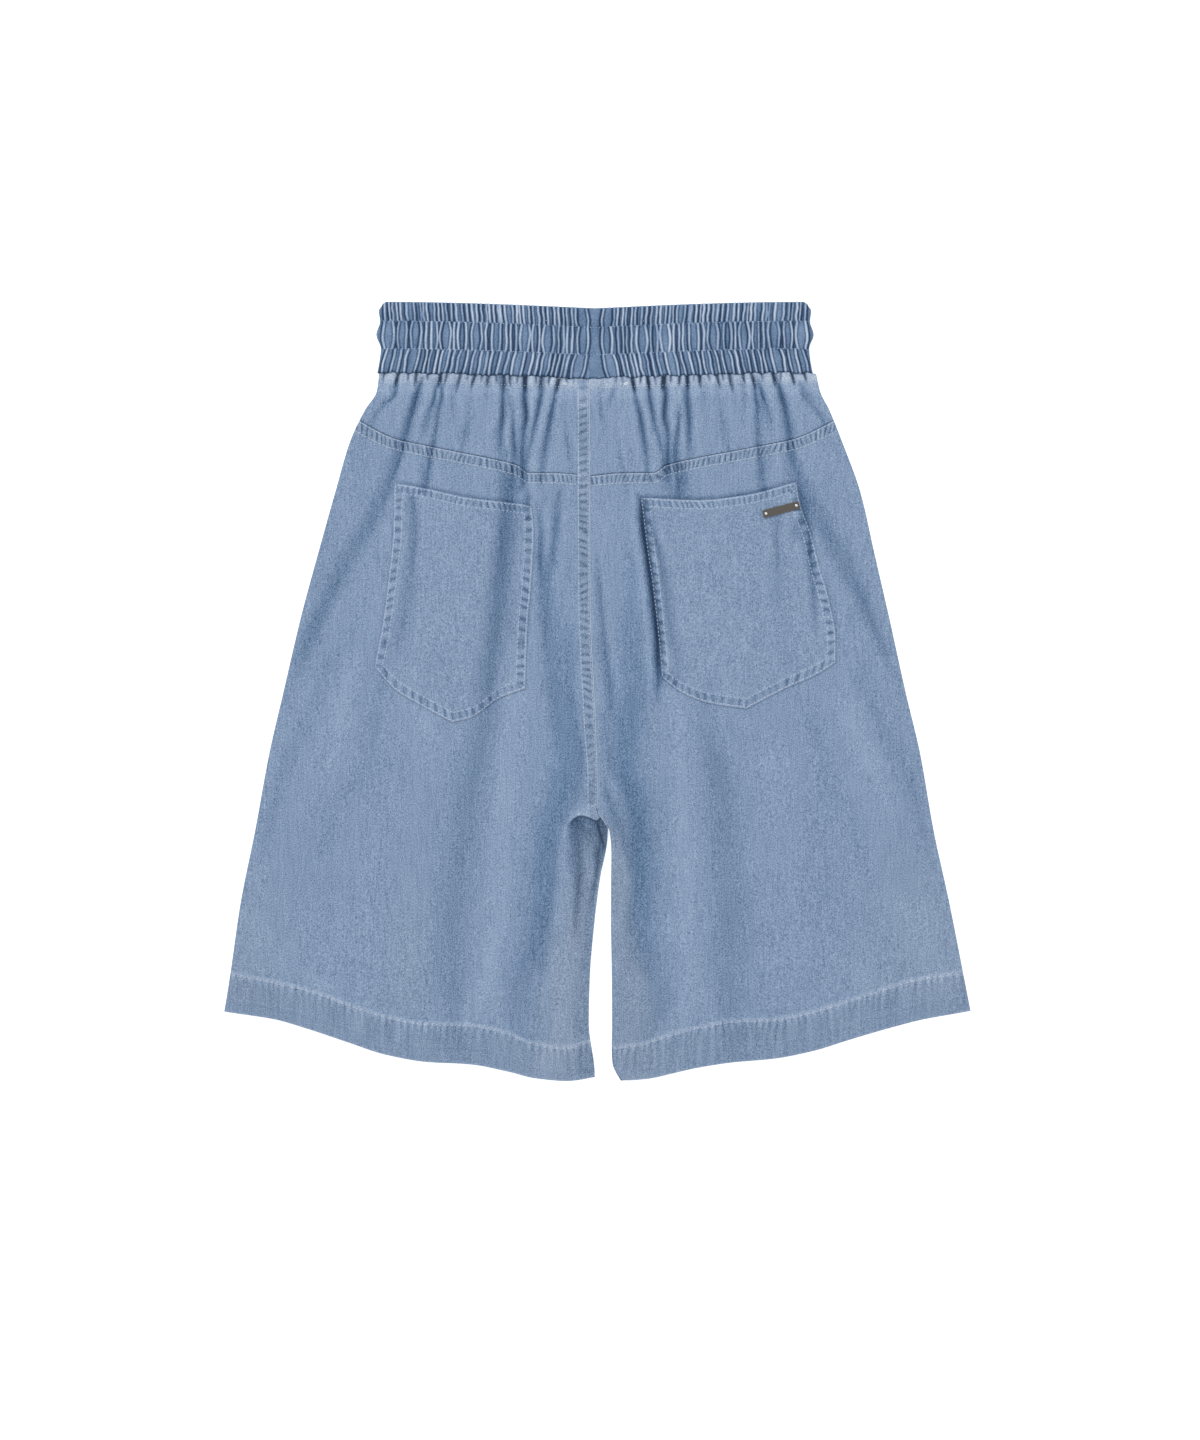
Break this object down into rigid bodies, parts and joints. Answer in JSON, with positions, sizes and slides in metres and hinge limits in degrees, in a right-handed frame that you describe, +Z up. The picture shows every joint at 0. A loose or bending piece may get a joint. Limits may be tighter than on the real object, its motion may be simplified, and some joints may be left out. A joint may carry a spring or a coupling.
{
  "type": "denim shorts",
  "caption": "Wide-leg denim shorts with a gathered elastic waistband, back yoke, patch pockets and a small metal plate, laid flat with the back up.",
  "frame": {"origin": "on the surface that the shorts lie on, under the middle of their outline", "axes": "+Z up from that surface to the back of the shorts, +Y from the hems to the waist, +X to the right when looking down on the back"},
  "size_m": [0.5979, 0.6238, 0.0091],
  "materials": {
    "gathered_denim": "washed cotton denim, gathered on elastic",
    "denim": "washed cotton denim",
    "hem_denim": "washed cotton denim, doubled and abraded",
    "plate_metal": "dark antique, brushed",
    "stud_metal": "polished"
  },
  "bodies": {
    "root": {"waistband_back": "gathered_denim", "waistband_front": "gathered_denim", "yoke_back_left": "denim", "leg_back_left": "denim", "hem_back_left": "hem_denim", "pocket_left": "denim", "leg_front_left": "denim", "hem_front_left": "hem_denim", "yoke_back_right": "denim", "leg_back_right": "denim", "hem_back_right": "hem_denim", "pocket_right": "denim", "leg_front_right": "denim", "hem_front_right": "hem_denim", "label_plate": "plate_metal", "plate_stud_left": "stud_metal", "plate_stud_right": "stud_metal"}
  },
  "joints": []
}
